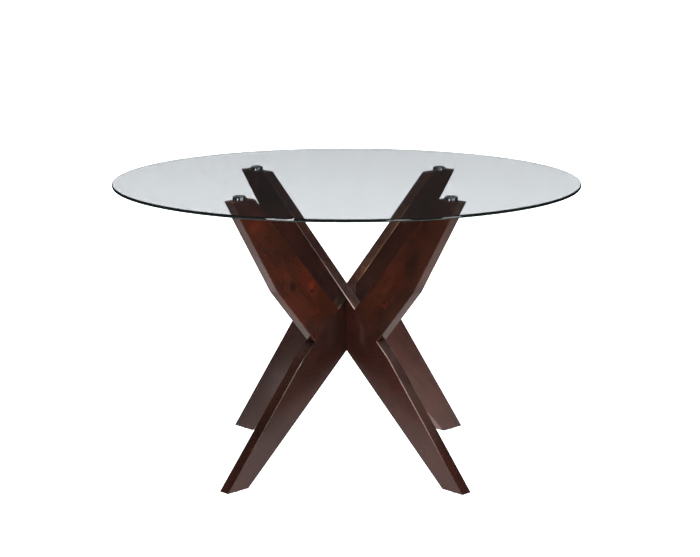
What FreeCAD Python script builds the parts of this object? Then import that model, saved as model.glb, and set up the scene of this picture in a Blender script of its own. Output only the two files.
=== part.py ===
"""Round dining table: a clear glass top on a wooden base of two crossing X frames."""
import FreeCAD, Part
import os

import Sketcher

os.makedirs("parts", exist_ok=True)
doc = FreeCAD.newDocument("GlassTopTable")

# Driving sizes in millimetres. Reaches are measured outward from the table's axis along a frame,
# heights upward from the floor.
SIZES = [
    ("glass_diameter", 1219, "Glass top"),
    ("glass_thickness", 8, "Glass top"),
    ("glass_arris", 1.2, "Glass top"),
    ("table_height", 760, "Whole table"),
    ("board_thickness", 34, "All boards"),
    ("board_arris", 1.2, "All boards"),
    ("tip_inner_reach", 307, "Long board, arm end"),
    ("tip_width", 95, "Long board, arm end"),
    ("arm_bend_reach", 200, "Long board, bend of the lower edge"),
    ("leg_bend_reach", 171, "Long board, bend of the upper edge"),
    ("foot_inner_reach", 366, "Long board, foot end"),
    ("foot_width", 70, "Long board, foot end"),
    ("upper_crotch_reach", 47, "Upper arm, seat on the long board"),
    ("upper_seat_width", 83, "Upper arm, seat on the long board"),
    ("upper_bend_reach", 258, "Upper arm, bend of the outer edge"),
    ("upper_tip_inner_reach", 333, "Upper arm, tip"),
    ("upper_tip_width", 75, "Upper arm, tip"),
    ("lower_crotch_reach", 32, "Lower leg, seat under the long board"),
    ("lower_seat_width", 95, "Lower leg, seat under the long board"),
    ("lower_bend_reach", 186, "Lower leg, bend of the outer edge"),
    ("lower_foot_inner_reach", 368, "Lower leg, foot"),
    ("lower_foot_width", 76, "Lower leg, foot"),
    ("lap_clearance", 0.1, "Cross lap, each side"),
    ("dowel_diameter", 10, "Dowels"),
    ("dowel_length", 60, "Dowels"),
    ("dowel_pitch", 31, "Dowels"),
    ("dowel_chamfer", 1.2, "Dowels"),
    ("hole_clearance", 0.1, "Every drilled hole, on the radius"),
    ("hole_relief", 1.5, "Every blind hole, past the end of what it holds"),
    ("disc_diameter", 34, "Support discs"),
    ("disc_height", 9, "Support discs"),
    ("disc_round", 1.2, "Support discs"),
    ("disc_recess_diameter", 27, "Support discs, seat of the pad"),
    ("disc_recess_depth", 1.5, "Support discs, seat of the pad"),
    ("pad_proud", 2, "Bumper pads, above the disc"),
    ("pad_clearance", 0.2, "Bumper pads, in the disc"),
    ("pad_round", 0.8, "Bumper pads"),
    ("screw_diameter", 4.5, "Disc screws"),
    ("screw_head_diameter", 8.5, "Disc screws"),
    ("screw_length", 38, "Disc screws"),
    ("screw_point", 5, "Disc screws"),
    ("bolt_diameter", 8, "Lap bolt"),
    ("bolt_head_diameter", 13, "Lap bolt"),
    ("bolt_head_height", 8, "Lap bolt"),
    ("bolt_socket_width", 6, "Lap bolt"),
    ("bolt_socket_depth", 4, "Lap bolt"),
    ("bolt_seat_depth", 30, "Lap bolt, seat above the crotch"),
    ("washer_diameter", 18, "Lap washer"),
    ("washer_thickness", 1.6, "Lap washer"),
    ("washer_clearance", 0.6, "Lap washer, in its counterbore, on the radius"),
    ("insert_diameter", 13, "Lap insert"),
    ("insert_length", 20, "Lap insert"),
    ("insert_flange_height", 2, "Lap insert"),
    ("insert_flange_diameter", 16, "Lap insert"),
    ("glide_diameter", 24, "Foot glides"),
    ("glide_height", 2.5, "Foot glides"),
    ("glide_round", 0.8, "Foot glides"),
    ("nail_diameter", 2.5, "Glide nails"),
    ("nail_head_diameter", 7, "Glide nails"),
    ("nail_head_height", 1.1, "Glide nails"),
    ("nail_inset", 0.7, "Glide nails, head above the floor"),
    ("nail_length", 18, "Glide nails"),
]
sheet = doc.addObject("Spreadsheet::Sheet", "Sizes")
for row, (alias, value, note) in enumerate(SIZES, start=1):
    sheet.set(f"A{row}", alias)
    sheet.set(f"B{row}", str(value))
    sheet.set(f"C{row}", note)
    sheet.setAlias(f"B{row}", alias)
doc.recompute()

# Heights of the outlines' corners, as shares of the base's height from the feet to the tips.
CROTCH_SHARE = 0.427
LEG_BEND_SHARE = 0.418
UPPER_BEND_SHARE = 0.667
LOWER_BEND_SHARE = 0.492


def size(alias):
    """Expression that reads one size from the sheet."""
    return f"Sizes.{alias}"


def total(*aliases):
    """Expression for the sum of several sizes."""
    return "(" + " + ".join(size(alias) for alias in aliases) + ")"


# Levels and edge lines that several pieces share.
FLOOR = "0"
FOOT = size("glide_height")
GLASS_UNDER = f"({size('table_height')} - {size('glass_thickness')})"
DISC_TOP = f"({GLASS_UNDER} - {size('pad_proud')})"
TIP = f"({DISC_TOP} - {size('disc_height')})"
HALF_BOARD = f"({size('board_thickness')} / 2)"


def level(share):
    """Height at a share of the way from the feet to the tips."""
    return f"({FOOT} + {share} * ({TIP} - {FOOT}))"


CROTCH = level(CROTCH_SHARE)
LEG_BEND = level(LEG_BEND_SHARE)
TIP_OUTER = total("tip_inner_reach", "tip_width")
FOOT_OUTER = total("foot_inner_reach", "foot_width")
UPPER_HEEL = total("upper_crotch_reach", "upper_seat_width")
UPPER_TIP_OUTER = total("upper_tip_inner_reach", "upper_tip_width")
LOWER_HEEL = total("lower_crotch_reach", "lower_seat_width")
LOWER_FOOT_OUTER = total("lower_foot_inner_reach", "lower_foot_width")

UPPER_FALL = f"(({TIP} - {LEG_BEND}) / {total('tip_inner_reach', 'leg_bend_reach')})"
LOWER_FALL = f"(({CROTCH} - {FOOT}) / {size('foot_inner_reach')})"


def upper_edge(reach):
    """Height of a long board's upper edge at a reach on its leg side."""
    return f"({LEG_BEND} + ({size('leg_bend_reach')} - {reach}) * {UPPER_FALL})"


def lower_edge(reach):
    """Height of a long board's lower edge at a reach on its arm side."""
    return f"({CROTCH} + {reach} * {LOWER_FALL})"


LAP_LEVEL = f"(({upper_edge(FLOOR)} + {lower_edge(FLOOR)}) / 2)"
BOLT_SEAT = f"({CROTCH} + {size('bolt_seat_depth')})"


def middle(first, second):
    """Expression halfway between two others."""
    return f"(({first} + {second}) / 2)"


def new_body(label):
    """Empty PartDesign body whose label names a piece."""
    body = doc.addObject("PartDesign::Body", "Body")
    body.Label = label
    return body


def origin_plane(body, role):
    """One of the body's own origin planes."""
    return next(item for item in body.Origin.OriginFeatures if item.Role == role)


def outline(body, name, points, role="XZ_Plane"):
    """Closed sketch of straight lines through points given as pairs of expressions."""
    sketch = body.newObject("Sketcher::SketchObject", name)
    sketch.AttachmentSupport = [(origin_plane(body, role), "")]
    sketch.MapMode = "FlatFace"
    count = len(points)
    rough = [FreeCAD.Vector(spot, spot * spot, 0) for spot in range(count)]
    for spot in range(count):
        sketch.addGeometry(Part.LineSegment(rough[spot], rough[(spot + 1) % count]), False)
    for spot in range(count):
        sketch.addConstraint(Sketcher.Constraint("Coincident", spot, 2, (spot + 1) % count, 1))
    for spot, (across, up) in enumerate(points):
        for kind, value in (("DistanceX", across), ("DistanceY", up)):
            index = sketch.addConstraint(Sketcher.Constraint(kind, -1, 1, spot, 1, 1.0))
            sketch.setExpression(f"Constraints[{index}]", value)
    return sketch


def circle_sketch(body, name, radius, role="XY_Plane"):
    """Sketch of one circle about the body's origin."""
    sketch = body.newObject("Sketcher::SketchObject", name)
    sketch.AttachmentSupport = [(origin_plane(body, role), "")]
    sketch.MapMode = "FlatFace"
    sketch.addGeometry(Part.Circle(FreeCAD.Vector(), FreeCAD.Vector(0, 0, 1), 1), False)
    sketch.addConstraint(Sketcher.Constraint("Coincident", 0, 3, -1, 1))
    index = sketch.addConstraint(Sketcher.Constraint("Radius", 0, 1))
    sketch.setExpression(f"Constraints[{index}]", radius)
    return sketch


def turned(label, profile):
    """Body turned about the vertical axis from a half profile."""
    body = new_body(label)
    sketch = outline(body, "Profile", profile)
    turn = body.newObject("PartDesign::Revolution", "Turn")
    turn.Profile = sketch
    turn.ReferenceAxis = (sketch, ["V_Axis"])
    turn.Angle = 360
    return body


def place(piece, angle, reach="0", height="0", tilt="0"):
    """Put a piece at a reach and height in the frame that runs at an angle, tilted in it."""
    frame = f"placement(vector(0; 0; 0); rotation(vector(0; 0; 1); {angle} deg))"
    spot = f"placement(vector({reach}; 0; {height}); rotation(vector(0; 1; 0); {tilt}))"
    piece.setExpression("Placement", f"{frame} * {spot}")


def bore(angle, reach, height, radius, depth, tilt="0"):
    """Cylinder that cuts a blind hole, from its mouth upward along its own axis."""
    tool = doc.addObject("Part::Cylinder", "Bore")
    tool.setExpression("Radius", radius)
    tool.setExpression("Height", depth)
    place(tool, angle, reach, height, tilt)
    return tool


def drilled(label, body, tools):
    """The body with holes cut, under the label that names the piece."""
    body.Label = f"{label}_blank"
    holes = doc.addObject("Part::Compound", "Holes")
    holes.Links = tools
    cut = doc.addObject("Part::Cut", "Drilled")
    cut.Base = body
    cut.Tool = holes
    cut.Label = label
    return cut


# Directions of the two frames about the table's axis, in degrees. Frame a runs from back left to
# front right, frame b from back right to front left.
FRONT_RIGHT_ANGLE = -45
FRONT_LEFT_ANGLE = -135
BACK_LEFT_ANGLE = 135
BACK_RIGHT_ANGLE = 45

pieces = []


def board(label, points):
    """Board of the frame's thickness, padded both ways from the frame's plane, arrises eased."""
    body = new_body(label)
    sketch = outline(body, "Outline", points)
    pad = body.newObject("PartDesign::Pad", "Pad")
    pad.Profile = sketch
    pad.Midplane = True
    pad.setExpression("Length", size("board_thickness"))
    doc.recompute()
    faces = [
        f"Face{number}"
        for number, face in enumerate(pad.Shape.Faces, start=1)
        if abs(face.normalAt(0, 0).y) > 0.5
    ]
    ease = body.newObject("PartDesign::Chamfer", "EasedArris")
    ease.Base = (pad, faces)
    ease.setExpression("Size", size("board_arris"))
    body.Tip = ease
    return body


def lap_slot(body, low, high):
    """Slot across the board at the table's axis, between two heights."""
    half = f"({HALF_BOARD} + {size('lap_clearance')})"
    corners = [(f"-{half}", low), (half, low), (half, high), (f"-{half}", high)]
    slot = body.newObject("PartDesign::Pocket", "LapSlot")
    slot.Profile = outline(body, "SlotOutline", corners)
    slot.Midplane = True
    slot.Type = "ThroughAll"
    body.Tip = slot
    doc.recompute()
    return slot


LONG_BOARD = [
    (f"-{TIP_OUTER}", TIP),
    (f"-{size('arm_bend_reach')}", lower_edge(size("arm_bend_reach"))),
    (size("foot_inner_reach"), FOOT),
    (FOOT_OUTER, FOOT),
    (size("leg_bend_reach"), LEG_BEND),
    (f"-{size('tip_inner_reach')}", TIP),
]
UPPER_ARM = [
    (size("upper_crotch_reach"), upper_edge(size("upper_crotch_reach"))),
    (UPPER_HEEL, upper_edge(UPPER_HEEL)),
    (size("upper_bend_reach"), level(UPPER_BEND_SHARE)),
    (UPPER_TIP_OUTER, TIP),
    (size("upper_tip_inner_reach"), TIP),
]
LOWER_LEG = [
    (size("lower_crotch_reach"), lower_edge(size("lower_crotch_reach"))),
    (size("lower_foot_inner_reach"), FOOT),
    (LOWER_FOOT_OUTER, FOOT),
    (size("lower_bend_reach"), level(LOWER_BEND_SHARE)),
    (LOWER_HEEL, lower_edge(LOWER_HEEL)),
]

# Dowel stations of the butt joints. A dowel stands square to the long board's edge and goes half
# its length into each board.
UPPER_TILT = f"atan({UPPER_FALL})"
LOWER_TILT = f"(180 deg - atan({LOWER_FALL}))"


def dowel_stations(kind):
    """Reach, height and tilt of each dowel's middle in an upper or a lower joint."""
    if kind == "upper":
        centre = middle(size("upper_crotch_reach"), UPPER_HEEL)
        edge, tilt, slope = upper_edge, UPPER_TILT, f"atan({UPPER_FALL})"
    else:
        centre = middle(size("lower_crotch_reach"), LOWER_HEEL)
        edge, tilt, slope = lower_edge, LOWER_TILT, f"atan({LOWER_FALL})"
    for step in (-1, 0, 1):
        reach = f"({centre} + {step} * {size('dowel_pitch')} * cos({slope}))"
        yield reach, edge(reach), tilt


def along(reach, height, tilt, distance):
    """Point at a distance along a tilted axis from a point of the frame."""
    return f"({reach} + {distance} * sin({tilt}))", f"({height} + {distance} * cos({tilt}))"


def dowel_bores(angle, kind):
    """Holes for one joint's dowels, through both boards."""
    half = f"({size('dowel_length')} / 2 + {size('hole_relief')})"
    radius = f"({size('dowel_diameter')} / 2 + {size('hole_clearance')})"
    tools = []
    for reach, height, tilt in dowel_stations(kind):
        start_reach, start_height = along(reach, height, tilt, f"(-{half})")
        tools.append(bore(angle, start_reach, start_height, radius, f"(2 * {half})", tilt))
    return tools


LONG_TIP = middle(size("tip_inner_reach"), TIP_OUTER)
LONG_FOOT = middle(size("foot_inner_reach"), FOOT_OUTER)
UPPER_TIP = middle(size("upper_tip_inner_reach"), UPPER_TIP_OUTER)
LOWER_FOOT = middle(size("lower_foot_inner_reach"), LOWER_FOOT_OUTER)
SCREW_SEAT = f"({DISC_TOP} - {size('disc_recess_depth')})"
NAIL_END = f"({size('nail_inset')} + {size('nail_length')})"


def screw_bore(angle, reach):
    """Pilot hole down into a tip for a disc screw."""
    end = f"({SCREW_SEAT} - {size('screw_length')} - {size('hole_relief')})"
    radius = f"({size('screw_diameter')} / 2 + {size('hole_clearance')})"
    return bore(angle, reach, end, radius, f"({TIP} + {size('hole_relief')} - {end})")


def nail_bore(angle, reach):
    """Hole up into a foot for a glide nail."""
    start = f"({FOOT} - {size('hole_relief')})"
    radius = f"({size('nail_diameter')} / 2 + {size('hole_clearance')})"
    return bore(angle, reach, start, radius, f"({NAIL_END} + {size('hole_relief')} - {start})")


def lap_bolt_bores(angle):
    """Bolt hole and counterbore up through the lower half of the cross lap."""
    shank = f"({size('bolt_diameter')} / 2 + {size('hole_clearance')})"
    counter = f"({size('washer_diameter')} / 2 + {size('washer_clearance')})"
    below = f"({CROTCH} - {size('board_thickness')})"
    return [
        bore(angle, "0", BOLT_SEAT, shank, f"({LAP_LEVEL} - {BOLT_SEAT} + {size('hole_relief')})"),
        bore(angle, "0", below, counter, f"({BOLT_SEAT} - {below})"),
    ]


def lap_insert_bores(angle):
    """Holes up into the upper half of the cross lap for the insert and the bolt's end."""
    flange = f"({size('insert_flange_diameter')} / 2 + {size('hole_clearance')})"
    sleeve = f"({size('insert_diameter')} / 2 + {size('hole_clearance')})"
    start = f"({LAP_LEVEL} - {size('hole_relief')})"
    return [
        bore(angle, "0", start, flange, f"({size('hole_relief')} + {size('insert_flange_height')})"),
        bore(angle, "0", start, sleeve, f"(2 * {size('hole_relief')} + {size('insert_length')})"),
    ]


# Long board a: slotted from below, so it drops over board b.
UNDER_BOARDS = FLOOR
OVER_BOARDS = size("table_height")

blank = board("long_plank_a", LONG_BOARD)
lap_slot(blank, UNDER_BOARDS, LAP_LEVEL)
place(blank, FRONT_RIGHT_ANGLE)
pieces.append(drilled("long_plank_a", blank, [
    *dowel_bores(FRONT_RIGHT_ANGLE, "upper"),
    *dowel_bores(BACK_LEFT_ANGLE, "lower"),
    *lap_insert_bores(FRONT_RIGHT_ANGLE),
    screw_bore(BACK_LEFT_ANGLE, LONG_TIP),
    nail_bore(FRONT_RIGHT_ANGLE, LONG_FOOT),
]))

# Long board b: slotted from above.
blank = board("long_plank_b", LONG_BOARD)
lap_slot(blank, LAP_LEVEL, OVER_BOARDS)
place(blank, FRONT_LEFT_ANGLE)
pieces.append(drilled("long_plank_b", blank, [
    *dowel_bores(FRONT_LEFT_ANGLE, "upper"),
    *dowel_bores(BACK_RIGHT_ANGLE, "lower"),
    *lap_bolt_bores(FRONT_LEFT_ANGLE),
    screw_bore(BACK_RIGHT_ANGLE, LONG_TIP),
    nail_bore(FRONT_LEFT_ANGLE, LONG_FOOT),
]))

# Short boards: an upper arm and a lower leg on each long board.
for side, angle in (("front_right", FRONT_RIGHT_ANGLE), ("front_left", FRONT_LEFT_ANGLE)):
    label = f"upper_arm_{side}"
    blank = board(label, UPPER_ARM)
    place(blank, angle)
    tools = dowel_bores(angle, "upper") + [screw_bore(angle, UPPER_TIP)]
    pieces.append(drilled(label, blank, tools))

for side, angle in (("back_left", BACK_LEFT_ANGLE), ("back_right", BACK_RIGHT_ANGLE)):
    label = f"lower_leg_{side}"
    blank = board(label, LOWER_LEG)
    place(blank, angle)
    tools = dowel_bores(angle, "lower") + [nail_bore(angle, LOWER_FOOT)]
    pieces.append(drilled(label, blank, tools))


# Dowels: turned beech pins with chamfered ends.
DOWEL_RADIUS = f"({size('dowel_diameter')} / 2)"
DOWEL_NECK = f"({DOWEL_RADIUS} - {size('dowel_chamfer')})"
DOWEL_HALF = f"({size('dowel_length')} / 2)"
DOWEL_SHOULDER = f"({DOWEL_HALF} - {size('dowel_chamfer')})"
DOWEL = [
    ("0", f"-{DOWEL_HALF}"),
    (DOWEL_NECK, f"-{DOWEL_HALF}"),
    (DOWEL_RADIUS, f"-{DOWEL_SHOULDER}"),
    (DOWEL_RADIUS, DOWEL_SHOULDER),
    (DOWEL_NECK, DOWEL_HALF),
    ("0", DOWEL_HALF),
]


def group(label, members):
    """Identical pieces that share one node."""
    compound = doc.addObject("Part::Compound", "Group")
    compound.Links = members
    compound.Label = label
    return compound


dowels = []
for angle, kind in ((FRONT_RIGHT_ANGLE, "upper"), (FRONT_LEFT_ANGLE, "upper"),
                      (BACK_LEFT_ANGLE, "lower"), (BACK_RIGHT_ANGLE, "lower")):
    for reach, height, tilt in dowel_stations(kind):
        dowel = turned("dowel", DOWEL)
        place(dowel, angle, reach, height, tilt)
        dowels.append(dowel)
pieces.append(group("joint_dowels", dowels))

# Lap bolt: socket head cap screw from below, with its washer, into a threaded insert.
BOLT_RADIUS = f"({size('bolt_diameter')} / 2)"
HEAD_TOP = f"({BOLT_SEAT} - {size('washer_thickness')})"
HEAD_BOTTOM = f"({HEAD_TOP} - {size('bolt_head_height')})"
BOLT_END = f"({LAP_LEVEL} + {size('insert_length')})"
lap_bolt = turned("lap_bolt", [
    ("0", HEAD_BOTTOM),
    (f"({size('bolt_head_diameter')} / 2)", HEAD_BOTTOM),
    (f"({size('bolt_head_diameter')} / 2)", HEAD_TOP),
    (BOLT_RADIUS, HEAD_TOP),
    (BOLT_RADIUS, BOLT_END),
    ("0", BOLT_END),
])
socket_sketch = circle_sketch(lap_bolt, "Socket", f"({size('bolt_socket_width')} / 2)")
socket_sketch.setExpression("AttachmentOffset.Base.z", HEAD_BOTTOM)
socket = lap_bolt.newObject("PartDesign::Pocket", "SocketPocket")
socket.Profile = socket_sketch
socket.Reversed = True
socket.setExpression("Length", size("bolt_socket_depth"))
lap_bolt.Tip = socket
pieces.append(lap_bolt)

WASHER_HOLE = f"({BOLT_RADIUS} + {size('hole_clearance')})"
WASHER_RADIUS = f"({size('washer_diameter')} / 2)"
pieces.append(turned("lap_washer", [
    (WASHER_HOLE, HEAD_TOP),
    (WASHER_RADIUS, HEAD_TOP),
    (WASHER_RADIUS, BOLT_SEAT),
    (WASHER_HOLE, BOLT_SEAT),
]))

SLEEVE_RADIUS = f"({size('insert_diameter')} / 2)"
FLANGE_RADIUS = f"({size('insert_flange_diameter')} / 2)"
FLANGE_TOP = f"({LAP_LEVEL} + {size('insert_flange_height')})"
pieces.append(turned("lap_insert", [
    (WASHER_HOLE, LAP_LEVEL),
    (FLANGE_RADIUS, LAP_LEVEL),
    (FLANGE_RADIUS, FLANGE_TOP),
    (SLEEVE_RADIUS, FLANGE_TOP),
    (SLEEVE_RADIUS, BOLT_END),
    (WASHER_HOLE, BOLT_END),
]))

# Support discs on the tips, each with a clear pad and a countersunk screw.
DISC_RADIUS = f"({size('disc_diameter')} / 2)"
RECESS_RADIUS = f"({size('disc_recess_diameter')} / 2)"
SCREW_RADIUS = f"({size('screw_diameter')} / 2)"
HEAD_RADIUS = f"({size('screw_head_diameter')} / 2)"
SINK_DEPTH = f"({HEAD_RADIUS} - {SCREW_RADIUS})"
DISC = [
    (f"({SCREW_RADIUS} + {size('hole_clearance')})", TIP),
    (DISC_RADIUS, TIP),
    (DISC_RADIUS, f"({DISC_TOP} - {size('disc_round')})"),
    (f"({DISC_RADIUS} - {size('disc_round')})", DISC_TOP),
    (RECESS_RADIUS, DISC_TOP),
    (RECESS_RADIUS, SCREW_SEAT),
    (f"({HEAD_RADIUS} + {size('hole_clearance')})", SCREW_SEAT),
    (f"({SCREW_RADIUS} + {size('hole_clearance')})", f"({SCREW_SEAT} - {SINK_DEPTH})"),
]
PAD_RADIUS = f"({RECESS_RADIUS} - {size('pad_clearance')})"
PAD = [
    ("0", SCREW_SEAT),
    (PAD_RADIUS, SCREW_SEAT),
    (PAD_RADIUS, f"({GLASS_UNDER} - {size('pad_round')})"),
    (f"({PAD_RADIUS} - {size('pad_round')})", GLASS_UNDER),
    ("0", GLASS_UNDER),
]
SCREW_END = f"({SCREW_SEAT} - {size('screw_length')})"
DISC_SCREW = [
    ("0", SCREW_END),
    (SCREW_RADIUS, f"({SCREW_END} + {size('screw_point')})"),
    (SCREW_RADIUS, f"({SCREW_SEAT} - {SINK_DEPTH})"),
    (HEAD_RADIUS, SCREW_SEAT),
    ("0", SCREW_SEAT),
]
TIPS = [
    ("front_left", FRONT_LEFT_ANGLE, UPPER_TIP),
    ("front_right", FRONT_RIGHT_ANGLE, UPPER_TIP),
    ("back_left", BACK_LEFT_ANGLE, LONG_TIP),
    ("back_right", BACK_RIGHT_ANGLE, LONG_TIP),
]
screws = []
for side, angle, reach in TIPS:
    disc = turned(f"support_disc_{side}", DISC)
    place(disc, angle, reach)
    pad = turned(f"bumper_pad_{side}", PAD)
    place(pad, angle, reach)
    screw = turned("disc_screw", DISC_SCREW)
    place(screw, angle, reach)
    pieces += [disc, pad]
    screws.append(screw)
pieces.append(group("disc_screws", screws))

# Glides under the feet, each held by a nail whose head lies in the glide.
GLIDE_RADIUS = f"({size('glide_diameter')} / 2)"
NAIL_RADIUS = f"({size('nail_diameter')} / 2)"
NAIL_HEAD_RADIUS = f"({size('nail_head_diameter')} / 2)"
NAIL_HEAD_TOP = f"({size('nail_inset')} + {size('nail_head_height')})"
GLIDE = [
    (f"({NAIL_HEAD_RADIUS} + {size('hole_clearance')})", FLOOR),
    (f"({GLIDE_RADIUS} - {size('glide_round')})", FLOOR),
    (GLIDE_RADIUS, size("glide_round")),
    (GLIDE_RADIUS, FOOT),
    (f"({NAIL_RADIUS} + {size('hole_clearance')})", FOOT),
    (f"({NAIL_RADIUS} + {size('hole_clearance')})", NAIL_HEAD_TOP),
    (f"({NAIL_HEAD_RADIUS} + {size('hole_clearance')})", NAIL_HEAD_TOP),
]
NAIL = [
    ("0", size("nail_inset")),
    (NAIL_HEAD_RADIUS, size("nail_inset")),
    (NAIL_HEAD_RADIUS, NAIL_HEAD_TOP),
    (NAIL_RADIUS, NAIL_HEAD_TOP),
    (NAIL_RADIUS, f"({NAIL_END} - {size('nail_diameter')})"),
    ("0", NAIL_END),
]
FEET = [
    ("front_left", FRONT_LEFT_ANGLE, LONG_FOOT),
    ("front_right", FRONT_RIGHT_ANGLE, LONG_FOOT),
    ("back_left", BACK_LEFT_ANGLE, LOWER_FOOT),
    ("back_right", BACK_RIGHT_ANGLE, LOWER_FOOT),
]
nails = []
for side, angle, reach in FEET:
    glide = turned(f"foot_glide_{side}", GLIDE)
    place(glide, angle, reach)
    nail = turned("glide_nail", NAIL)
    place(nail, angle, reach)
    pieces.append(glide)
    nails.append(nail)
pieces.append(group("glide_nails", nails))

# Glass top: round sheet with a small arris at both edges of its rim.
GLASS_RADIUS = f"({size('glass_diameter')} / 2)"
RIM = f"({GLASS_RADIUS} - {size('glass_arris')})"
pieces.append(turned("glass_top", [
    ("0", GLASS_UNDER),
    (RIM, GLASS_UNDER),
    (GLASS_RADIUS, f"({GLASS_UNDER} + {size('glass_arris')})"),
    (GLASS_RADIUS, f"({size('table_height')} - {size('glass_arris')})"),
    (RIM, size("table_height")),
    ("0", size("table_height")),
]))

doc.recompute()
for item in doc.Objects:
    if "Invalid" in item.State or "Error" in item.State:
        raise RuntimeError(f"{item.Label} ({item.Name}) is not sound: {item.State}")
for piece in pieces:
    shape = piece.Shape
    if shape.isNull() or not shape.isValid() or not shape.Solids:
        raise RuntimeError(f"{piece.Label} has no sound solid")
    shape.exportStep(f"parts/{piece.Label}.step")
    print(f"{piece.Label}: {len(shape.Solids)} solid(s), {shape.Volume / 1000:.2f} cm3")
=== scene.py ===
"""Round glass-top dining table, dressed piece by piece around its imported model."""

import math

import bmesh
import bpy
from mathutils import Matrix, Vector


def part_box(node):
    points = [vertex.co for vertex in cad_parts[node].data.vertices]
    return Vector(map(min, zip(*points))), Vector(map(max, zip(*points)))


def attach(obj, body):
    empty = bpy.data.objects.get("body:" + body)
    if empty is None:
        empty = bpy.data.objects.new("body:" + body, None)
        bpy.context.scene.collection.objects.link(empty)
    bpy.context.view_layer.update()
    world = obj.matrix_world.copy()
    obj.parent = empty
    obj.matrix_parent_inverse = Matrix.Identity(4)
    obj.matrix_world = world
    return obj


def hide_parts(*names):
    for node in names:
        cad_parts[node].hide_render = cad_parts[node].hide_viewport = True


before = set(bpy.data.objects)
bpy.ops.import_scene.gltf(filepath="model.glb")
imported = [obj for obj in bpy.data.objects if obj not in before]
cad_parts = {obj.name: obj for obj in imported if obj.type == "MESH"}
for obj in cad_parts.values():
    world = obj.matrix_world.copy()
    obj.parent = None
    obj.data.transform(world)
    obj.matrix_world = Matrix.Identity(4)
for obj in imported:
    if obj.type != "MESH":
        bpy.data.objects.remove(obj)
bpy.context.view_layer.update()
bpy.ops.object.select_all(action="DESELECT")

# Long boards
# Two straight boards of hardwood, planed, sawn to a six-cornered outline and stained dark. They
# cross at the middle in a cross lap: board a is slotted from below, board b from above.
FRONT_RIGHT = math.radians(-45)
FRONT_LEFT = math.radians(-135)
FOOT, TIP = (corner.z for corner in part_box("long_plank_a"))
BOARD_THICKNESS = 0.034
SAW_ALLOWANCE = 0.02
ARRIS_ROUND = 0.0024
LAP_CLEARANCE = 0.0001
TIP_INNER, TIP_OUTER = 0.307, 0.402
ARM_BEND = 0.200
LEG_BEND = 0.171
FOOT_INNER, FOOT_OUTER = 0.366, 0.436
UPPER_SEAT = 0.047, 0.130
LOWER_SEAT = 0.032, 0.127
WELD = 0.00001
SHARP_FROM = math.radians(3)
SMOOTH_UP_TO = math.radians(35)


def level(share):
    """Height at a share of the way from the feet to the tips."""
    return FOOT + share * (TIP - FOOT)


CROTCH = level(0.427)
LEG_BEND_LEVEL = level(0.418)


def upper_edge(reach):
    """Height of a long board's upper edge on its leg side."""
    fall = (TIP - LEG_BEND_LEVEL) / (TIP_INNER + LEG_BEND)
    return LEG_BEND_LEVEL + (LEG_BEND - reach) * fall


def lower_edge(reach):
    """Height of a long board's lower edge on its arm side."""
    return CROTCH + reach * (CROTCH - FOOT) / FOOT_INNER


def on_line(point, start, end, tolerance=0.0002, end_share=0.001):
    """True if a point of the frame's plane lies on a stretch between two others."""
    along = Vector(end) - Vector(start)
    there = Vector(point) - Vector(start)
    share = there.dot(along) / along.length_squared
    aside = abs(along.cross(there)) / along.length
    return aside < tolerance and -end_share < share < 1 + end_share


def mark_worn_and_highlit(mesh, upward=0.1, broad_side=0.995, sawn_edge=0.05, edge_share=0.12):
    """Mark the arrises that face up, and a little the sawn edges between them, where the stain is
    thinned by rubbing and a painted highlight is laid along the upward arrises.
    A face's slope is 1 on a board's broad side and 0 on its sawn edge."""
    wear_and_highlight = mesh.verts.layers.float.new("wear_and_highlight")
    for vertex in mesh.verts:
        slopes = [abs(face.normal.y) for face in vertex.link_faces]
        if vertex.normal.z > upward and max(slopes) < broad_side:
            vertex[wear_and_highlight] = 1.0 if min(slopes) > sawn_edge else edge_share


def sawn_board(name, corners, seats):
    """Board in the plane of the frame: a planed blank, sawn along its outline, with its arrises
    rounded except along the seats, where another board is glued on and sanded flush."""
    reaches = [corner[0] for corner in corners]
    blank_size = (
        max(reaches) - min(reaches) + 2 * SAW_ALLOWANCE,
        BOARD_THICKNESS,
        TIP - FOOT + 2 * SAW_ALLOWANCE,
    )
    middle = ((max(reaches) + min(reaches)) / 2, 0, (TIP + FOOT) / 2)
    bpy.ops.mesh.primitive_cube_add(size=1, location=middle, scale=blank_size)
    board = bpy.context.active_object
    board.name = board.data.name = name
    bpy.ops.object.transform_apply(location=True, rotation=True, scale=True)
    bpy.ops.object.mode_set(mode="EDIT")
    for (reach, height), (next_reach, next_height) in zip(corners, corners[1:] + corners[:1]):
        bpy.ops.mesh.select_all(action="SELECT")
        bpy.ops.mesh.bisect(
            plane_co=(reach, 0, height),
            plane_no=(next_height - height, 0, reach - next_reach),
            use_fill=True,
            clear_outer=True,
        )
    for start, end in seats:
        for reach, height in (start, end):
            bpy.ops.mesh.select_all(action="SELECT")
            bpy.ops.mesh.bisect(
                plane_co=(reach, 0, height),
                plane_no=(end[0] - start[0], 0, end[1] - start[1]),
            )
    bpy.ops.mesh.select_all(action="SELECT")
    bpy.ops.mesh.remove_doubles(threshold=WELD)
    bpy.ops.mesh.select_all(action="DESELECT")
    mesh = bmesh.from_edit_mesh(board.data)
    for edge in mesh.edges:
        ends = [(vertex.co.x, vertex.co.z) for vertex in edge.verts]
        seated = any(all(on_line(end, *seat) for end in ends) for seat in seats)
        edge.select = edge.calc_face_angle(0) > SHARP_FROM and not seated
    bmesh.update_edit_mesh(board.data)
    bpy.ops.mesh.bevel(offset=ARRIS_ROUND, segments=4, profile=0.5, affect="EDGES")
    mark_worn_and_highlit(bmesh.from_edit_mesh(board.data))
    bmesh.update_edit_mesh(board.data)
    bpy.ops.object.mode_set(mode="OBJECT")
    return board


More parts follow.
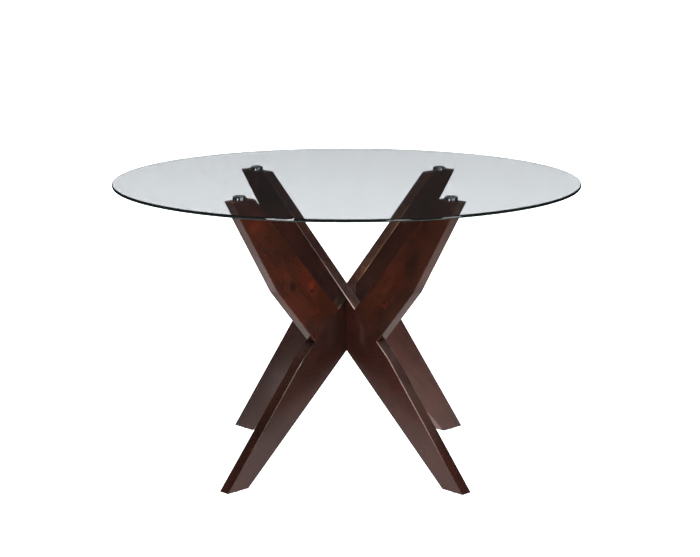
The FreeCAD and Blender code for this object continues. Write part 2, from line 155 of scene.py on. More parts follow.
def cut_away(board, cutter):
    """Cut one mesh out of another and remove the cutter."""
    bpy.ops.object.select_all(action="DESELECT")
    cutting = board.modifiers.new("Cut", "BOOLEAN")
    cutting.object = cutter
    cutting.operation = "DIFFERENCE"
    cutting.solver = "EXACT"
    bpy.context.view_layer.objects.active = board
    board.select_set(True)
    bpy.ops.object.modifier_apply(modifier=cutting.name)
    bpy.data.objects.remove(cutter)


def lap_slot(board, low, high, lengthwise=0.99):
    """Slot of the cross lap, across the board at the table's axis. Its two side walls, which face
    lengthwise, are marked as saw cuts."""
    width = BOARD_THICKNESS + 2 * LAP_CLEARANCE
    bpy.ops.mesh.primitive_cube_add(
        size=1,
        location=(0, 0, (low + high) / 2),
        scale=(width, 2 * BOARD_THICKNESS, high - low),
    )
    cut_away(board, bpy.context.active_object)
    store = board.data.attributes.new("sawn", "FLOAT", "FACE")
    for face, sawn in zip(board.data.polygons, store.data):
        sawn.value = float(abs(face.normal.x) > lengthwise and abs(face.center.x) < width)


def grain_start(seed):
    """Where a board starts along and across the pattern of its grain, so that no two match."""
    return 3 * seed, seed


def keep_grain(board, start, end, seed):
    """Store each point's place along, across and through the board, which its grain follows."""
    along = (Vector(end) - Vector(start)).normalized()
    first, side = grain_start(seed)
    store = board.data.attributes.new("grain", "FLOAT_VECTOR", "POINT")
    for vertex, place in zip(board.data.vertices, store.data):
        spot = Vector((vertex.co.x, vertex.co.z)) - Vector(start)
        place.vector = (spot.dot(along) + first, along.cross(spot) + side, vertex.co.y)


def shade_rounds(piece):
    """Shade a piece's flat faces flat and the rounded arrises between them smooth."""
    bpy.ops.object.select_all(action="DESELECT")
    bpy.context.view_layer.objects.active = piece
    piece.select_set(True)
    bpy.ops.object.shade_smooth_by_angle(angle=SMOOTH_UP_TO)
    weighted = piece.modifiers.new("FlatFaces", "WEIGHTED_NORMAL")
    weighted.keep_sharp = True
    weighted.weight = 100
    bpy.ops.object.modifier_apply(modifier=weighted.name)


def stand(board, angle):
    """Turn a finished board from the frame's plane into its direction about the table's axis."""
    board.data.transform(Matrix.Rotation(angle, 4, "Z"))
    shade_rounds(board)


def new_material(name):
    """New material, with its tree of nodes and its main shader."""
    material = bpy.data.materials.new(name)
    material.use_nodes = True
    return material, material.node_tree, material.node_tree.nodes["Principled BSDF"]


def feed(tree, node, inputs):
    """Give each named or numbered input of a node its value, or link it to what feeds it."""
    for key, value in inputs.items():
        if isinstance(value, bpy.types.NodeSocket):
            tree.links.new(value, node.inputs[key])
        else:
            node.inputs[key].default_value = value


def add(tree, kind, inputs=None, **settings):
    """Add a node to a material, with its settings and inputs."""
    node = tree.nodes.new(kind)
    for key, value in settings.items():
        setattr(node, key, value)
    feed(tree, node, inputs or {})
    return node


def number(tree, operation, *values):
    """Number worked out from others."""
    node = add(tree, "ShaderNodeMath", dict(enumerate(values)), operation=operation)
    return node.outputs["Value"]


def vector(tree, operation, *values):
    """Vector, or a vector's length, worked out from others."""
    node = add(tree, "ShaderNodeVectorMath", dict(enumerate(values)), operation=operation)
    return node.outputs["Value" if operation == "LENGTH" else "Vector"]


def stored(tree, name, output="Fac"):
    """Value that is stored with the points or faces of a mesh."""
    return add(tree, "ShaderNodeAttribute", attribute_name=name).outputs[output]


def noise(tree, place, scale, detail=2.0, roughness=0.5, distortion=0.0, stretch=None):
    """Cloudy pattern, drawn out along the board where it is stretched."""
    if stretch:
        mapping = add(tree, "ShaderNodeMapping", {"Vector": place, "Scale": stretch})
        place = mapping.outputs["Vector"]
    texture = add(tree, "ShaderNodeTexNoise", {
        "Vector": place,
        "Scale": scale,
        "Detail": detail,
        "Roughness": roughness,
        "Distortion": distortion,
    })
    return texture.outputs["Fac"]


def ramp(tree, factor, low, high, low_value=0.0, high_value=1.0, kind="SMOOTHSTEP"):
    """Value that goes from one to another while a factor goes from low to high."""
    node = add(tree, "ShaderNodeMapRange", {
        "Value": factor,
        "From Min": low,
        "From Max": high,
        "To Min": low_value,
        "To Max": high_value,
    }, interpolation_type=kind)
    return node.outputs["Result"]


def spread(tree, factor, low_value, high_value):
    """Value that follows a factor evenly between two others."""
    return ramp(tree, factor, 0.0, 1.0, low_value, high_value, kind="LINEAR")


def mix(tree, factor, first, second, blend="MIX"):
    """Colour between two others, or one tinted by the other."""
    share_socket, first_socket, second_socket, result_socket = 0, 6, 7, 2
    node = add(
        tree,
        "ShaderNodeMix",
        {share_socket: factor, first_socket: first, second_socket: second},
        data_type="RGBA",
        blend_type=blend,
    )
    return node.outputs[result_socket]


# The dark brown tint is used only for painted shade, the red-brown tint only for painted light
# from the floor, and the near-black tint for knots and for painted shade.
KNOT_AND_SHADE_BLACK = 0.010, 0.0055, 0.0035, 1
UMBER_SHADE = 0.016, 0.0056, 0.0040, 1
BRICK_FLOOR_LIGHT = 0.080, 0.0200, 0.0125, 1
PORE = 0.006, 0.003, 0.002, 1
SAW_CUT = 0.046, 0.0175, 0.0120, 1
SHINE = 0.5
SAW_CUT_SHINE = 0.15
LACQUER = 0.25


def stained_wood(
    name, seed, colours, blotch_share=0.5, front=0.0, spots_and_painted_light=(),
    arris_wear_and_highlight=0.015, worn_and_highlit_from=None, worn_and_highlit_to=None, bare_and_highlight=(0.30, 0.17, 0.12, 1), slotted=False,
):
    """Dark stain under satin lacquer: streaks and pores along the grain, soft reddish blotches,
    knots and patches of another tone at chosen places along and across the board, with painted
    shade and painted light at some of those places, the stain thinned on the upper arrises under a
    painted highlight, and slightly uneven lacquer. The walls of a slot have none."""
    deep, middle, warm = colours
    first, side = grain_start(seed)
    material, tree, shader = new_material(name)
    grain = stored(tree, "grain", "Vector")
    figure = noise(tree, grain, 4.5, distortion=0.4, stretch=(1.0, 4.0, 4.0))
    streak = noise(tree, grain, 6.0, 4.0, 0.6, distortion=0.3, stretch=(1.0, 20.0, 20.0))
    cloud = noise(tree, grain, 9.0, 1.5, 0.45, distortion=0.5, stretch=(1.0, 1.5, 1.5))
    fleck = noise(tree, grain, 48.0, distortion=0.5, stretch=(1.0, 1.3, 1.3))
    pore = noise(tree, grain, 120.0, stretch=(1.0, 18.0, 18.0))
    patchy = noise(tree, grain, 18.0, 3.0)

    colour = mix(tree, ramp(tree, figure, 0.25, 0.70), deep, middle)
    colour = mix(tree, ramp(tree, cloud, 0.32, 0.78, 0.0, blotch_share), colour, warm)
    colour = mix(tree, 1.0, colour, ramp(tree, streak, 0.3, 0.7, 0.90, 1.07), "MULTIPLY")
    colour = mix(tree, ramp(tree, fleck, 0.60, 0.80, 0.0, 0.3 * blotch_share), colour, warm)
    colour = mix(tree, ramp(tree, pore, 0.62, 0.78, 0.0, 0.08), colour, PORE)

    # The upward arrises take a paler colour: partly the stain thinned by rubbing, partly a painted
    # highlight.
    worn_and_highlit = ramp(tree, cloud, 0.36, 0.60, 0.5 * arris_wear_and_highlight, arris_wear_and_highlight)
    if worn_and_highlit_from:
        along = add(tree, "ShaderNodeSeparateXYZ", {"Vector": grain}).outputs["X"]
        begin, full = (first + place for place in worn_and_highlit_from)
        fade, end = (first + place for place in worn_and_highlit_to)
        worn_and_highlit = number(tree, "MULTIPLY", worn_and_highlit, ramp(tree, along, begin, full, 0.03, 1.0))
        worn_and_highlit = number(tree, "MULTIPLY", worn_and_highlit, ramp(tree, along, fade, end, 1.0, 0.15))
    colour = mix(tree, number(tree, "MULTIPLY", stored(tree, "wear_and_highlight"), worn_and_highlit), colour, bare_and_highlight)

    # Each spot tints the colour round a point: knots and patches of another tone, and on the long
    # boards and the left arm also painted shade and painted light.
    for spot_along, spot_across, size, strength, tint in spots_and_painted_light:
        spot = (first + spot_along, side + spot_across, front)
        apart = vector(tree, "SUBTRACT", grain, spot)
        uneven = fleck.node.outputs["Color"]
        apart = vector(tree, "MULTIPLY_ADD", uneven, (size, size, size), apart)
        distance = vector(tree, "LENGTH", apart)
        strength_here = ramp(tree, distance, 0.7 * size, 1.9 * size, strength, 0.0)
        colour = mix(tree, strength_here, colour, tint)

    height = number(tree, "SUBTRACT", streak, ramp(tree, pore, 0.60, 0.72))
    bump = add(tree, "ShaderNodeBump", {"Strength": 0.04, "Distance": 0.0006, "Height": height})
    feed(tree, shader, {
        "Base Color": colour,
        "Roughness": ramp(tree, patchy, 0.3, 0.7, 0.20, 0.27),
        "Specular IOR Level": SHINE,
        "Coat Weight": LACQUER,
        "Coat Roughness": 0.12,
        "Normal": bump.outputs["Normal"],
    })
    if slotted:
        sawn = stored(tree, "sawn")
        feed(tree, shader, {
            "Base Color": mix(tree, sawn, colour, SAW_CUT),
            "Specular IOR Level": spread(tree, sawn, SHINE, SAW_CUT_SHINE),
            "Coat Weight": spread(tree, sawn, LACQUER, 0.0),
        })
    return material


LONG_BOARD = [
    (-TIP_OUTER, TIP),
    (-ARM_BEND, lower_edge(ARM_BEND)),
    (FOOT_INNER, FOOT),
    (FOOT_OUTER, FOOT),
    (LEG_BEND, LEG_BEND_LEVEL),
    (-TIP_INNER, TIP),
]
LONG_BOARD_SEATS = [
    tuple((reach, upper_edge(reach)) for reach in UPPER_SEAT),
    tuple((-reach, lower_edge(reach)) for reach in LOWER_SEAT),
]
LAP_LEVEL = (upper_edge(0) + lower_edge(0)) / 2
LAP_MARGIN = 0.1

board_a = sawn_board("board_a", LONG_BOARD, LONG_BOARD_SEATS)
lap_slot(board_a, CROTCH - LAP_MARGIN, LAP_LEVEL)
board_b = sawn_board("board_b", LONG_BOARD, LONG_BOARD_SEATS)
lap_slot(board_b, LAP_LEVEL, TIP + LAP_MARGIN)
COUNTERBORE_DEPTH = 0.030
COUNTERBORE_RADIUS = 0.0096
bpy.ops.mesh.primitive_cylinder_add(
    vertices=48,
    radius=COUNTERBORE_RADIUS,
    depth=2 * COUNTERBORE_DEPTH,
    location=(0, 0, CROTCH),
)
cut_away(board_b, bpy.context.active_object)

# Board a's pale, strong arris line is mostly a painted highlight; board b's orange one is mostly
# thinned stain.
for board, node, angle, seed, front, colours, spots_and_painted_light, arris_wear_and_highlight, worn_and_highlit_from, worn_and_highlit_to, bare_and_highlight in (
    (board_a, "long_plank_a", FRONT_RIGHT, 0.37, -BOARD_THICKNESS / 2,
     ((0.014, 0.0043, 0.0034, 1), (0.0255, 0.0074, 0.0055, 1), (0.0405, 0.0106, 0.0069, 1)),
     # Lighter and redder down the foot: painted light from the floor. Darker at the top of the
     # leg, just outside the right arm's seat: painted shade.
     [(0.93, -0.06, 0.19, 0.22, BRICK_FLOOR_LIGHT), (0.625, -0.045, 0.050, 0.5, UMBER_SHADE)],
     0.80, (0.28, 0.46), (0.80, 0.98), (0.44, 0.32, 0.28, 1)),
    (board_b, "long_plank_b", FRONT_LEFT, 1.21, BOARD_THICKNESS / 2,
     ((0.017, 0.0059, 0.0043, 1), (0.031, 0.0103, 0.0072, 1), (0.047, 0.0138, 0.0084, 1)),
     # Darker just under the left arm's seat, and near black in the crotch at its inner end and in
     # the corner at its outer end: all painted shade.
     [(0.56, -0.02, 0.060, 0.65, UMBER_SHADE), (0.456, 0.0, 0.014, 0.9, KNOT_AND_SHADE_BLACK),
      (0.604, 0.018, 0.012, 0.9, KNOT_AND_SHADE_BLACK)],
     0.55, (0.09, 0.17), (0.48, 0.55), (0.32, 0.17, 0.10, 1)),
):
    keep_grain(board, LONG_BOARD[-1], LONG_BOARD[4], seed)
    stand(board, angle)
    board.data.materials.append(stained_wood(
        f"stained_{board.name}", seed, colours, front=front, spots_and_painted_light=spots_and_painted_light,
        arris_wear_and_highlight=arris_wear_and_highlight, worn_and_highlit_from=worn_and_highlit_from, worn_and_highlit_to=worn_and_highlit_to, bare_and_highlight=bare_and_highlight, slotted=True,
    ))
    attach(board, "root")
    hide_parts(node)

# Upper arms
# Two short tapered boards that stand on the upper edges of the long boards, dowelled and glued,
# and carry the front of the glass. The left one has a lively reddish figure, and its colours are
# set lighter than the right one's, partly as painted light from the right.
UPPER_TIP_INNER, UPPER_TIP_OUTER = 0.333, 0.408
UPPER_BEND = 0.258
OLIVE_TONE_AND_SHADE = 0.018, 0.0090, 0.0055, 1
RUST = 0.140, 0.0220, 0.0095, 1
UPPER_ARM = [
    (UPPER_SEAT[0], upper_edge(UPPER_SEAT[0])),
    (UPPER_SEAT[1], upper_edge(UPPER_SEAT[1])),
    (UPPER_BEND, level(0.667)),
    (UPPER_TIP_OUTER, TIP),
    (UPPER_TIP_INNER, TIP),
]
for side, angle, seed, front, colours, blotch_share, spots_and_painted_light in (
    ("front_right", FRONT_RIGHT, 2.13, -BOARD_THICKNESS / 2,
     ((0.015, 0.0048, 0.0028, 1), (0.031, 0.0092, 0.0050, 1), (0.050, 0.0130, 0.0064, 1)), 0.7,
     [(0.20, -0.03, 0.03, 0.12, RUST), (0.102, -0.054, 0.011, 0.3, RUST),
      (0.102, -0.054, 0.005, 0.8, KNOT_AND_SHADE_BLACK)]),
    ("front_left", FRONT_LEFT, 3.32, BOARD_THICKNESS / 2,
     ((0.033, 0.0096, 0.0053, 1), (0.054, 0.0135, 0.0065, 1), (0.077, 0.0152, 0.0068, 1)), 0.8,
     [(0.330, -0.030, 0.050, 0.35, OLIVE_TONE_AND_SHADE), (0.255, -0.004, 0.020, 0.45, OLIVE_TONE_AND_SHADE),
      (0.225, -0.085, 0.022, 0.35, OLIVE_TONE_AND_SHADE), (0.212, -0.057, 0.009, 0.20, RUST),
      (0.390, -0.042, 0.012, 0.30, RUST), (0.127, -0.014, 0.009, 0.65, RUST),
      (0.174, -0.060, 0.0075, 0.85, KNOT_AND_SHADE_BLACK), (0.281, -0.039, 0.005, 0.6, KNOT_AND_SHADE_BLACK),
      # The two last olive patches, on the arm's lower end along its seat, are painted shade; the
      # other olive patches are the wood's own tone.
      (0.111, -0.025, 0.004, 0.45, KNOT_AND_SHADE_BLACK), (0.0, -0.040, 0.034, 0.65, OLIVE_TONE_AND_SHADE),
      (0.045, -0.086, 0.026, 0.65, OLIVE_TONE_AND_SHADE)]),
):
    arm = sawn_board(f"arm_{side}", UPPER_ARM, [(UPPER_ARM[0], UPPER_ARM[1])])
    keep_grain(arm, UPPER_ARM[0], UPPER_ARM[4], seed)
    stand(arm, angle)
    arm.data.materials.append(stained_wood(
        f"stained_{arm.name}", seed, colours, blotch_share, front=front, spots_and_painted_light=spots_and_painted_light,
    ))
    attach(arm, "root")
    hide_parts(f"upper_arm_{side}")

# Lower legs
# Two short tapered boards under the lower edges of the long boards, dowelled and glued. They
# stand on the floor at the back.
BACK_LEFT = math.radians(135)
BACK_RIGHT = math.radians(45)
LOWER_FOOT_INNER, LOWER_FOOT_OUTER = 0.368, 0.444
LOWER_BEND = 0.186
LOWER_LEG = [
    (LOWER_SEAT[0], lower_edge(LOWER_SEAT[0])),
    (LOWER_FOOT_INNER, FOOT),
    (LOWER_FOOT_OUTER, FOOT),
    (LOWER_BEND, level(0.492)),
    (LOWER_SEAT[1], lower_edge(LOWER_SEAT[1])),
]
for side, angle, seed, colours in (
    # Both legs' colours are greyed to paint in a neutral sheen, and the back right one's are set
    # much lighter as painted light from the right.
    ("back_left", BACK_LEFT, 4.51,
     ((0.017, 0.0074, 0.0060, 1), (0.030, 0.0125, 0.0098, 1), (0.044, 0.0165, 0.0118, 1))),
    ("back_right", BACK_RIGHT, 5.74,
     ((0.038, 0.0165, 0.0132, 1), (0.065, 0.0270, 0.0215, 1), (0.088, 0.0340, 0.0250, 1))),
):
    leg = sawn_board(f"leg_{side}", LOWER_LEG, [(LOWER_LEG[4], LOWER_LEG[0])])
    keep_grain(leg, LOWER_LEG[0], LOWER_LEG[1], seed)
    stand(leg, angle)
    leg.data.materials.append(stained_wood(f"stained_{leg.name}", seed, colours))
    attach(leg, "root")
    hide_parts(f"lower_leg_{side}")


# Dowels
# Twelve plain beech pins, three in each butt joint, hidden once the boards are glued.
def object_place(tree):
    """Place on the object in metres."""
    return add(tree, "ShaderNodeTexCoord").outputs["Object"]


def refinish(node, material):
    """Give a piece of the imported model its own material."""
    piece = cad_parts[node]
    piece.data.materials.clear()
    piece.data.materials.append(material)


beech, tree, shader = new_material("raw_beech")
fibre = noise(tree, object_place(tree), 220.0)
feed(tree, shader, {
    "Base Color": mix(tree, fibre, (0.42, 0.25, 0.13, 1), (0.62, 0.42, 0.25, 1)),
    "Roughness": 0.6,
})
refinish("joint_dowels", beech)

# Lap bolt, washer and insert, disc screws and glide nails
# Zinc-plated steel. The bolt draws the cross lap together from below; the screws and nails are
# driven into the ends of the boards.
steel, tree, shader = new_material("zinc_steel")
spangle = noise(tree, object_place(tree), 350.0, 4.0)
feed(tree, shader, {
    "Base Color": mix(tree, spangle, (0.42, 0.43, 0.45, 1), (0.60, 0.61, 0.63, 1)),
    "Metallic": 1.0,
    "Roughness": spread(tree, spangle, 0.28, 0.48),
})
for node in ("lap_bolt", "lap_washer", "lap_insert", "disc_screws", "glide_nails"):
    refinish(node, steel)


# Support discs
# Four turned steel discs, chromed, one screwed on each tip. The rim is rounded at the top, has a
# fine groove near the bottom, and the face is recessed for the pad.
def turned_piece(name, profile, centre, steps=96, fine_weld=0.000002):
    """Piece turned from a half profile of (radius, height) points about a vertical axis."""
    bpy.ops.object.select_all(action="DESELECT")
    bpy.ops.mesh.primitive_circle_add(vertices=3)
    piece = bpy.context.active_object
    piece.name = piece.data.name = name
    bpy.ops.object.mode_set(mode="EDIT")
    bpy.ops.mesh.select_all(action="SELECT")
    bpy.ops.mesh.delete(type="VERT")
    mesh = bmesh.from_edit_mesh(piece.data)
    line = [mesh.verts.new((radius, 0, height)) for radius, height in profile]
    for first, second in zip(line, line[1:]):
        mesh.edges.new((first, second))
    for item in [*mesh.verts, *mesh.edges]:
        item.select = True
    bmesh.update_edit_mesh(piece.data)
    bpy.ops.mesh.spin(steps=steps, angle=math.tau, center=(0, 0, 0), axis=(0, 0, 1))
    bpy.ops.mesh.select_all(action="SELECT")
    bpy.ops.mesh.remove_doubles(threshold=fine_weld)
    bpy.ops.mesh.normals_make_consistent(inside=False)
    bpy.ops.object.mode_set(mode="OBJECT")
    store = piece.data.attributes.new("turning", "FLOAT_VECTOR", "POINT")
    for vertex, place in zip(piece.data.vertices, store.data):
        place.vector = vertex.co
    piece.data.transform(Matrix.Translation(centre))
    bpy.ops.object.shade_smooth_by_angle(angle=SMOOTH_UP_TO)
    return piece


def quarter_round(radius, height, size, steps=5):
    """Quarter round from outwards to upwards about a centre of the profile."""
    turns = [math.radians(90 * step / steps) for step in range(steps + 1)]
    return [(radius + size * math.cos(turn), height + size * math.sin(turn)) for turn in turns]


def centre_of(node, height):
    """Point on a node's own vertical axis, at a height."""
    low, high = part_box(node)
    return Vector(((low.x + high.x) / 2, (low.y + high.y) / 2, height))


DISC_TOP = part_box("support_disc_front_left")[1].z
DISC_HEIGHT = DISC_TOP - TIP
DISC_RADIUS = 0.017
RECESS_RADIUS = 0.0135
RECESS_DEPTH = 0.0015
SCREW_HOLE_RADIUS = 0.00235
SCREW_SINK_RADIUS = 0.00435
DISC_ROUND = 0.0014
GROOVE = 0.0005
DISC_PROFILE = [
    (SCREW_HOLE_RADIUS, 0),
    (DISC_RADIUS - 2 * GROOVE, 0),
    (DISC_RADIUS - GROOVE, GROOVE),
    (DISC_RADIUS - GROOVE, 3 * GROOVE),
    (DISC_RADIUS, 4 * GROOVE),
    *quarter_round(DISC_RADIUS - DISC_ROUND, DISC_HEIGHT - DISC_ROUND, DISC_ROUND),
    (RECESS_RADIUS + GROOVE, DISC_HEIGHT),
    (RECESS_RADIUS, DISC_HEIGHT - GROOVE),
    (RECESS_RADIUS, DISC_HEIGHT - RECESS_DEPTH),
    (SCREW_SINK_RADIUS, DISC_HEIGHT - RECESS_DEPTH),
    (SCREW_HOLE_RADIUS, DISC_HEIGHT - RECESS_DEPTH - SCREW_SINK_RADIUS + SCREW_HOLE_RADIUS),
    (SCREW_HOLE_RADIUS, 0),
]
SIDES = ("front_left", "front_right", "back_left", "back_right")

chrome, tree, shader = new_material("polished_chrome")
turning = stored(tree, "turning", "Vector")
haze = noise(tree, turning, 260.0)
tool_marks = add(
    tree,
    "ShaderNodeTexWave",
    {"Vector": turning, "Scale": 900.0, "Distortion": 0.6},
    wave_type="RINGS",
    rings_direction="Z",
)
bump = add(tree, "ShaderNodeBump", {
    "Strength": 0.05,
    "Distance": 0.0001,
    "Height": tool_marks.outputs["Fac"],
})
feed(tree, shader, {
    "Base Color": mix(tree, haze, (0.42, 0.43, 0.45, 1), (0.56, 0.57, 0.60, 1)),
    "Metallic": 1.0,
    "Roughness": spread(tree, haze, 0.03, 0.08),
    "Normal": bump.outputs["Normal"],
})
for side in SIDES:
    node = f"support_disc_{side}"
    disc = turned_piece(f"disc_{side}", DISC_PROFILE, centre_of(node, TIP))
    disc.data.materials.append(chrome)
    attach(disc, "root")
    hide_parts(node)

# Bumper pads
# Soft clear discs pressed into the recesses. The glass lies on them by its own weight.
PAD_RADIUS = 0.0133
PAD_ROUND = 0.0008
PAD_CLEARANCE = 0.0001
GLASS_UNDER, GLASS_TOP = (corner.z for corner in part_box("glass_top"))
RECESS_FLOOR = DISC_TOP - RECESS_DEPTH
PAD_TOP = GLASS_UNDER - PAD_CLEARANCE - RECESS_FLOOR
PAD_PROFILE = [
    (0, PAD_CLEARANCE),
    (PAD_RADIUS, PAD_CLEARANCE),
    *quarter_round(PAD_RADIUS - PAD_ROUND, PAD_TOP - PAD_ROUND, PAD_ROUND),
    (0, PAD_TOP),
]
vinyl, tree, shader = new_material("clear_vinyl")
bloom = noise(tree, stored(tree, "turning", "Vector"), 420.0)
feed(tree, shader, {
    "Base Color": (0.84, 0.88, 0.87, 1),
    "Transmission Weight": 0.95,
    "IOR": 1.45,
    "Roughness": spread(tree, bloom, 0.12, 0.25),
})
for side in SIDES:
    node = f"bumper_pad_{side}"
    pad = turned_piece(f"pad_{side}", PAD_PROFILE, centre_of(node, RECESS_FLOOR))
    pad.data.materials.append(vinyl)
    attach(pad, "root")
    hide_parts(node)

# Foot glides
# Four round nylon glides nailed under the feet, with a rounded edge that slides over the floor.
nylon, tree, shader = new_material("dark_nylon")
scuff = noise(tree, object_place(tree), 300.0, 5.0)
feed(tree, shader, {
    "Base Color": mix(tree, scuff, (0.012, 0.009, 0.008, 1), (0.030, 0.024, 0.021, 1)),
    "Roughness": spread(tree, scuff, 0.42, 0.62),
})
for side in SIDES:
    refinish(f"foot_glide_{side}", nylon)

# Glass top
# One round sheet of clear tempered glass, 8 mm thick. Its rim is ground flat and polished, with a
# small arris at both edges, and looks nearly black because light crosses the whole sheet inside.
GLASS_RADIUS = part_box("glass_top")[1].x
GLASS_ARRIS = 0.0026
bpy.ops.object.select_all(action="DESELECT")
bpy.ops.mesh.primitive_cylinder_add(
    vertices=256,
    radius=GLASS_RADIUS,
    depth=GLASS_TOP - GLASS_UNDER,
    location=(0, 0, (GLASS_TOP + GLASS_UNDER) / 2),
)
glass = bpy.context.active_object
glass.name = glass.data.name = "glass_sheet"
bpy.ops.object.transform_apply(location=True, rotation=True, scale=True)
bpy.ops.object.mode_set(mode="EDIT")
bpy.ops.mesh.select_all(action="DESELECT")
glass_mesh = bmesh.from_edit_mesh(glass.data)
for edge in glass_mesh.edges:
    edge.select = abs(edge.verts[0].co.z - edge.verts[1].co.z) < GLASS_ARRIS
bmesh.update_edit_mesh(glass.data)
bpy.ops.mesh.bevel(offset=GLASS_ARRIS, segments=5, profile=0.5, affect="EDGES")
bpy.ops.object.mode_set(mode="OBJECT")
shade_rounds(glass)
rim = glass.data.attributes.new("rim", "FLOAT", "POINT")
FLAT_RADIUS = GLASS_RADIUS - GLASS_ARRIS
for vertex, rim_share in zip(glass.data.vertices, rim.data):
    rim_share.value = (vertex.co.xy.length - FLAT_RADIUS) / GLASS_ARRIS

clear_glass, tree, shader = new_material("clear_float_glass")
tint = add(tree, "ShaderNodeVolumeAbsorption", {"Color": (0.35, 0.72, 0.66, 1), "Density": 3.0})
feed(tree, shader, {
    "Base Color": (1.0, 1.0, 1.0, 1),
    "Transmission Weight": spread(tree, stored(tree, "rim"), 1.0, 0.98),
    "Roughness": 0.0,
    "IOR": 1.52,
})
pale_shadow = add(tree, "ShaderNodeBsdfTransparent", {"Color": (0.94, 0.97, 0.96, 1)})
surface = add(tree, "ShaderNodeMixShader", {
    0: add(tree, "ShaderNodeLightPath").outputs["Is Shadow Ray"],
    1: shader.outputs["BSDF"],
    2: pale_shadow.outputs["BSDF"],
})
feed(tree, tree.nodes["Material Output"], {
    "Surface": surface.outputs["Shader"],
    "Volume": tint.outputs["Volume"],
})
glass.data.materials.append(clear_glass)
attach(glass, "root")
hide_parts("glass_top")

# Studio
# A wide pale floor that glows under the table, white all round, soft lamps above, in front and on
# the right, a low card at each side, and the camera where the photograph was taken from.
FLOOR_SIDE = 80
GLOW_MIDDLE = (0.05, -0.25, 0)
GLOW_FULL_TO, GLOW_ENDS_AT = 0.2, 1.2
GLOW_STRENGTH = 0.8
GLOW_BOUNCE = 2.7
WHITER_FROM, WHITEST_AT = 1.4, 3.6
FAR_WHITENESS = 1.78
bpy.ops.object.select_all(action="DESELECT")
bpy.ops.mesh.primitive_plane_add(size=FLOOR_SIDE, location=(0, 0, 0))
floor = bpy.context.active_object
floor.name = "floor"
pale, tree, shader = new_material("pale_floor")
place = object_place(tree)
ray = add(tree, "ShaderNodeLightPath").outputs
from_glow = vector(tree, "LENGTH", vector(tree, "SUBTRACT", place, GLOW_MIDDLE))
glow = ramp(tree, from_glow, GLOW_FULL_TO, GLOW_ENDS_AT, GLOW_STRENGTH, 0.0)
bounce = number(tree, "MULTIPLY_ADD", ray["Is Diffuse Ray"], GLOW_BOUNCE, 1.0)
feed(tree, shader, {
    "Base Color": (0.12, 0.12, 0.12, 1),
    "Roughness": 0.9,
    "Specular IOR Level": 0.0,
    "Emission Color": (1, 0.87, 0.83, 1),
    "Emission Strength": number(tree, "MULTIPLY", glow, bounce),
})
away = vector(tree, "LENGTH", place)
whiteness = ramp(tree, away, WHITER_FROM, WHITEST_AT, 1.0, FAR_WHITENESS)
seen_floor = add(tree, "ShaderNodeEmission", {
    "Color": (0.935, 0.965, 1.0, 1),
    "Strength": number(tree, "ADD", whiteness, ray["Is Camera Ray"]),
})
surface = add(tree, "ShaderNodeMixShader", {
    0: number(tree, "MAXIMUM", ray["Is Camera Ray"], ray["Is Transmission Ray"]),
    1: shader.outputs["BSDF"],
    2: seen_floor.outputs["Emission"],
})
feed(tree, tree.nodes["Material Output"], {"Surface": surface.outputs["Shader"]})
pale.cycles.emission_sampling = "NONE"
floor.data.materials.append(pale)

world = bpy.data.worlds.new("studio")
bpy.context.scene.world = world
world.use_nodes = True
tree = world.node_tree
dim = tree.nodes["Background"]
feed(tree, dim, {"Color": (0.95, 0.97, 1.0, 1), "Strength": 0.018})
white = add(tree, "ShaderNodeBackground", {"Color": (1, 1, 1, 1), "Strength": 1.2})
surroundings = add(tree, "ShaderNodeMixShader", {
    0: add(tree, "ShaderNodeLightPath").outputs["Is Camera Ray"],
    1: dim.outputs["Background"],
    2: white.outputs["Background"],
})
feed(tree, tree.nodes["World Output"], {"Surface": surroundings.outputs["Shader"]})


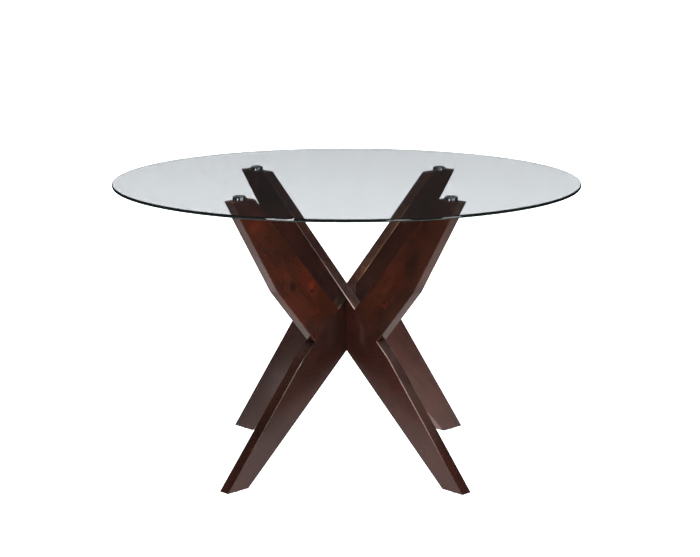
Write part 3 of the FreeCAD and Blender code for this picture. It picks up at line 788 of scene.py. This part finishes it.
def softbox(name, place, aim, size, power, colour=(1, 1, 1), lights=True, mirrored=True):
    """Rectangular soft lamp that faces a point and isn't seen through the glass. A lamp that only
    gives sheen lights nothing, and one that only fills isn't mirrored."""
    bpy.ops.object.light_add(type="AREA", location=place)
    lamp = bpy.context.active_object
    lamp.name = name
    lamp.data.shape = "RECTANGLE"
    lamp.data.size, lamp.data.size_y = size
    lamp.data.energy = power
    lamp.data.color = colour
    lamp.rotation_euler = (Vector(aim) - Vector(place)).to_track_quat("-Z", "Y").to_euler()
    lamp.visible_transmission = False
    lamp.visible_diffuse = lights
    lamp.visible_glossy = mirrored
    return lamp


MIDDLE = (0, 0, 0.4)
CENTRE = (0, 0, 0.55)
LOW_CENTRE = (0, 0, 0.30)
FRONT_LOW_RIGHT = (2.2, -2.1, 0.55)
softbox("overhead", (-0.3, 0.9, 3.0), MIDDLE, (1.0, 1.0), 50, mirrored=False)
softbox("upper_right", (1.5, 0.9, 3.0), MIDDLE, (2.2, 2.0), 4.8)
softbox("streak_left", (-1.42, -2.75, 0.30), LOW_CENTRE, (0.65, 0.5), 8, lights=False)
softbox("fill_left", (-1.68, -2.6, 0.55), CENTRE, (0.5, 1.0), 7, mirrored=False)
softbox("upright_middle", (1.18, -2.87, 0.55), CENTRE, (0.55, 1.0), 5.6)
softbox("streak_right", FRONT_LOW_RIGHT, CENTRE, (0.5, 1.0), 6, lights=False)
softbox("fill_low", FRONT_LOW_RIGHT, CENTRE, (0.5, 1.0), 11.5, (1, 0.92, 0.88), mirrored=False)
softbox("fill_right", (2.4, -2.0, 2.2), MIDDLE, (1.2, 1.2), 22, mirrored=False)
softbox("key", (-0.93, -1.74, 2.74), MIDDLE, (0.14, 0.14), 34)
for name, side, power, colour in (
    ("card_left", -0.78, 0.24, (1, 0.9, 0.87)),
    ("card_right", 0.80, 0.15, (1, 0.62, 0.50)),
):
    card = softbox(name, (side, 0.1, 0.01), (side, 0.1, 1.0), (0.36, 0.24), power, colour)
    card.visible_camera = False

CAMERA_SPOT = (0.063, -4.694, 1.474)
CAMERA_DIP = math.radians(78.22)
CAMERA_TURN = math.radians(0.662)
bpy.ops.object.camera_add(location=CAMERA_SPOT, rotation=(CAMERA_DIP, 0, CAMERA_TURN))
camera = bpy.context.active_object
camera.data.sensor_width = 36
camera.data.lens = 93.24
bpy.context.scene.camera = camera
bpy.context.scene.view_settings.view_transform = "Standard"
